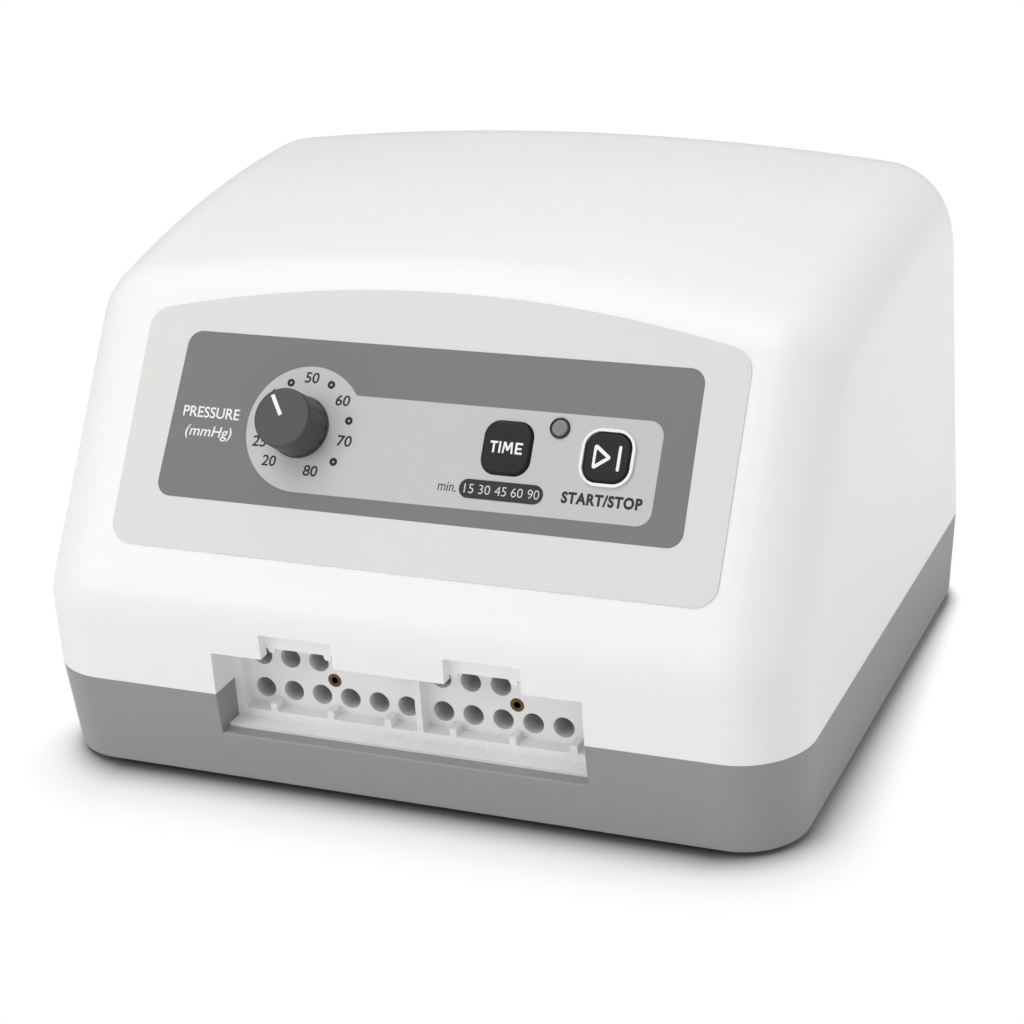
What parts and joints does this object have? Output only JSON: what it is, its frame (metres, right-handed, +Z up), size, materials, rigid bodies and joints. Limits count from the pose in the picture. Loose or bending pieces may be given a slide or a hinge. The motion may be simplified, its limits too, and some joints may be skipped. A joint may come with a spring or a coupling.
{
  "type": "compression therapy pump",
  "caption": "Table-top air pump for compression garments: wedge-shaped case, sloped panel with pressure dial and keys, hose ports in a front opening.",
  "frame": {"origin": "on the standing plane, below the middle of the case", "axes": "+X to the right seen from the front, +Y to the back, +Z up"},
  "size_m": [0.28, 0.234, 0.1838],
  "materials": {
    "cover": "white moulded plastic, satin gloss",
    "tray": "mid grey moulded plastic, satin",
    "label": "printed polyester film",
    "knob": "dark grey, fine satin",
    "pointer": "white inlay",
    "key": "dark grey, satin",
    "surround": "white",
    "lens": "smoked lens",
    "dark_trim": "black",
    "window": "smoked window",
    "block": "white moulded plastic",
    "brass": "machined",
    "hose": "translucent silicone",
    "steel": "zinc plated",
    "board": "green board",
    "electronics": "mixed components",
    "nylon": "natural nylon",
    "motor": "plated steel can",
    "lamination": "stacked steel laminations",
    "copper": "enamelled copper",
    "alloy": "die cast",
    "rubber": "black rubber",
    "inlet": "black, satin"
  },
  "bodies": {
    "case": {"upper_shell": "cover", "base_tray": "tray", "panel_overlay": "label", "potentiometer": "electronics", "pot_nut": "steel", "start_surround": "surround", "status_lens": "lens", "status_bezel": "dark_trim", "time_window": "window", "control_board": "board", "board_screws": "steel", "key_switches": "electronics", "indicator_leds": "lens", "manifold_block": "block", "threaded_insert_left": "brass", "threaded_insert_right": "brass", "plug_keeper_left": "block", "plug_keeper_right": "block", "manifold_cover": "nylon", "manifold_screws": "steel", "outlet_hose_1": "hose", "outlet_hose_2": "hose", "outlet_hose_3": "hose", "outlet_hose_4": "hose", "supply_hose": "hose", "balance_hose": "hose", "valve_motor": "motor", "valve_body": "nylon", "valve_cover": "nylon", "valve_screws": "steel", "pump_plate": "steel", "rubber_mounts": "rubber", "stator_cores": "lamination", "stator_coils": "copper", "end_frames": "alloy", "diaphragms": "rubber", "pump_heads": "nylon", "intake_filter": "nylon", "transformer_core": "lamination", "transformer_winding": "copper", "supply_board": "board", "supply_parts": "electronics", "supply_screws": "steel", "inlet_housing": "inlet", "inlet_pins": "brass", "inlet_screws": "steel", "fan_frame": "inlet", "fan_screws": "steel", "rubber_feet": "rubber", "case_screws": "steel"},
    "knob": {"pressure_knob": "knob", "knob_pointer": "pointer", "pot_shaft": "nylon"},
    "time_key": {"time_button": "key"},
    "start_key": {"start_button": "key"},
    "rocker": {"power_rocker": "inlet"},
    "drawer": {"fuse_drawer": "inlet"},
    "fan": {"fan_rotor": "inlet"},
    "distributor": {"valve_rotor": "nylon"},
    "armature": {"armature": "steel"}
  },
  "joints": [
    {"name": "pressure_dial", "type": "hinge", "parent": "case", "child": "knob", "pos_m": [-0.0435, -0.07949, 0.12179], "axis": [0, -0.8251, 0.565], "range_deg": [-193.5, 104.5]},
    {"name": "time_press", "type": "slide", "parent": "case", "child": "time_key", "axis": [0, 0.8251, -0.565], "range_m": [0, 0.0008], "stiffness_N_per_m": 600},
    {"name": "start_press", "type": "slide", "parent": "case", "child": "start_key", "axis": [0, 0.8251, -0.565], "range_m": [0, 0.0008], "stiffness_N_per_m": 600},
    {"name": "power_rock", "type": "hinge", "parent": "case", "child": "rocker", "pos_m": [0.097, 0.10819, 0.09974], "axis": [1, 0, 0], "range_deg": [-16, 0]},
    {"name": "fuse_slide", "type": "slide", "parent": "case", "child": "drawer", "axis": [0, 0.999, 0.0436], "range_m": [0, 0.016]},
    {"name": "fan_spin", "type": "hinge", "parent": "case", "child": "fan", "pos_m": [-0.07, 0.1012, 0.09943], "axis": [0, 0.999, 0.0436], "continuous": true},
    {"name": "distributor_spin", "type": "hinge", "parent": "case", "child": "distributor", "pos_m": [0.042, 0.006, 0.04], "axis": [0, 0, 1], "continuous": true},
    {"name": "armature_stroke", "type": "slide", "parent": "case", "child": "armature", "axis": [1, 0, 0], "range_m": [-0.0015, 0.0015], "stiffness_N_per_m": 2000}
  ]
}
